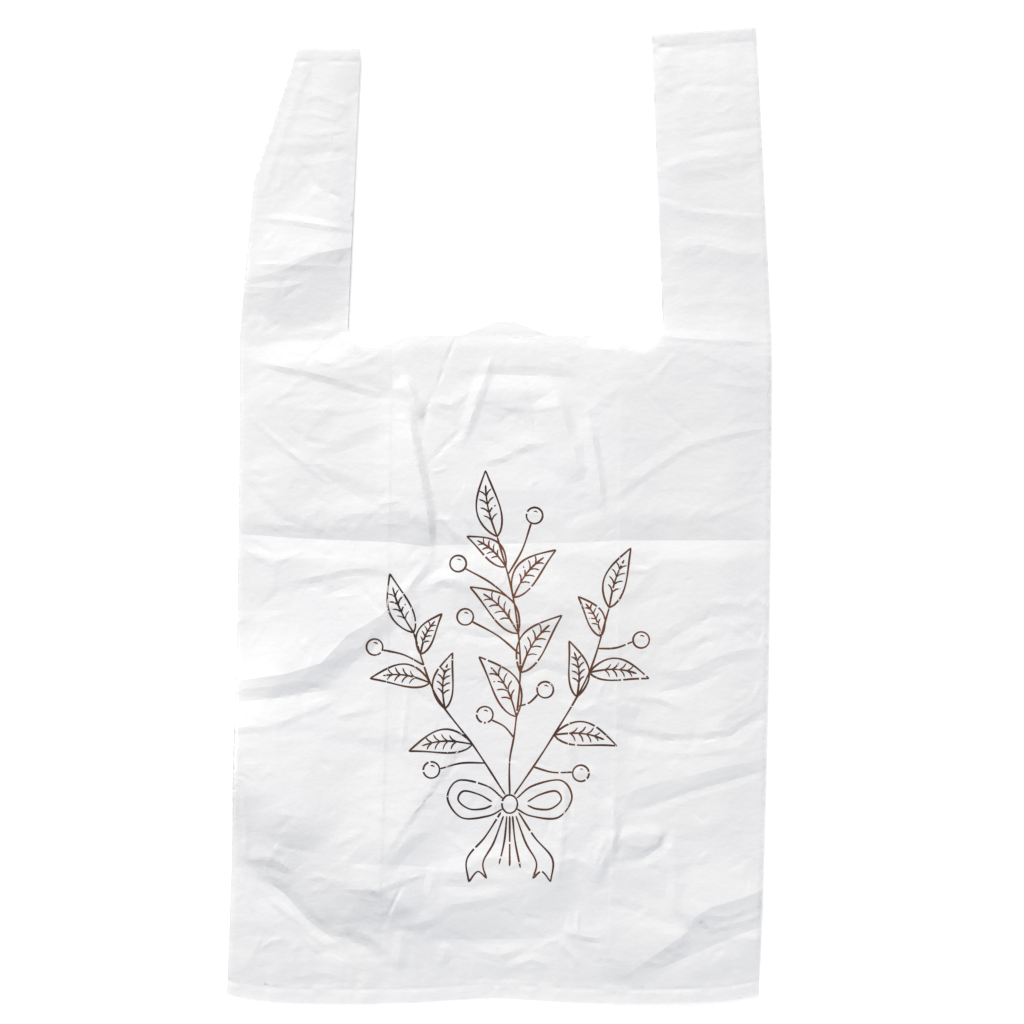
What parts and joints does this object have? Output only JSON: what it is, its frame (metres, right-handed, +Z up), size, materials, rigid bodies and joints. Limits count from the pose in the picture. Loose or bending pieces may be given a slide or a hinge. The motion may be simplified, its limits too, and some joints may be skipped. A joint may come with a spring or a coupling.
{
  "type": "plastic carrier bag",
  "caption": "Vest-shaped carrier bag of thin white plastic film, tucked in at the sides, welded flat across its ends, with looped handles, lying empty.",
  "frame": {"origin": "on the table, under the middle of the laid bag", "axes": "+Y from the bottom weld to the handles, +X across the bag to the right seen from above, +Z up off the table"},
  "size_m": [0.3072, 0.551, 0.0118],
  "materials": {
    "film": "soft gloss blown polyethylene film"
  },
  "bodies": {
    "root": {"carrier_bag": "film"}
  },
  "joints": []
}
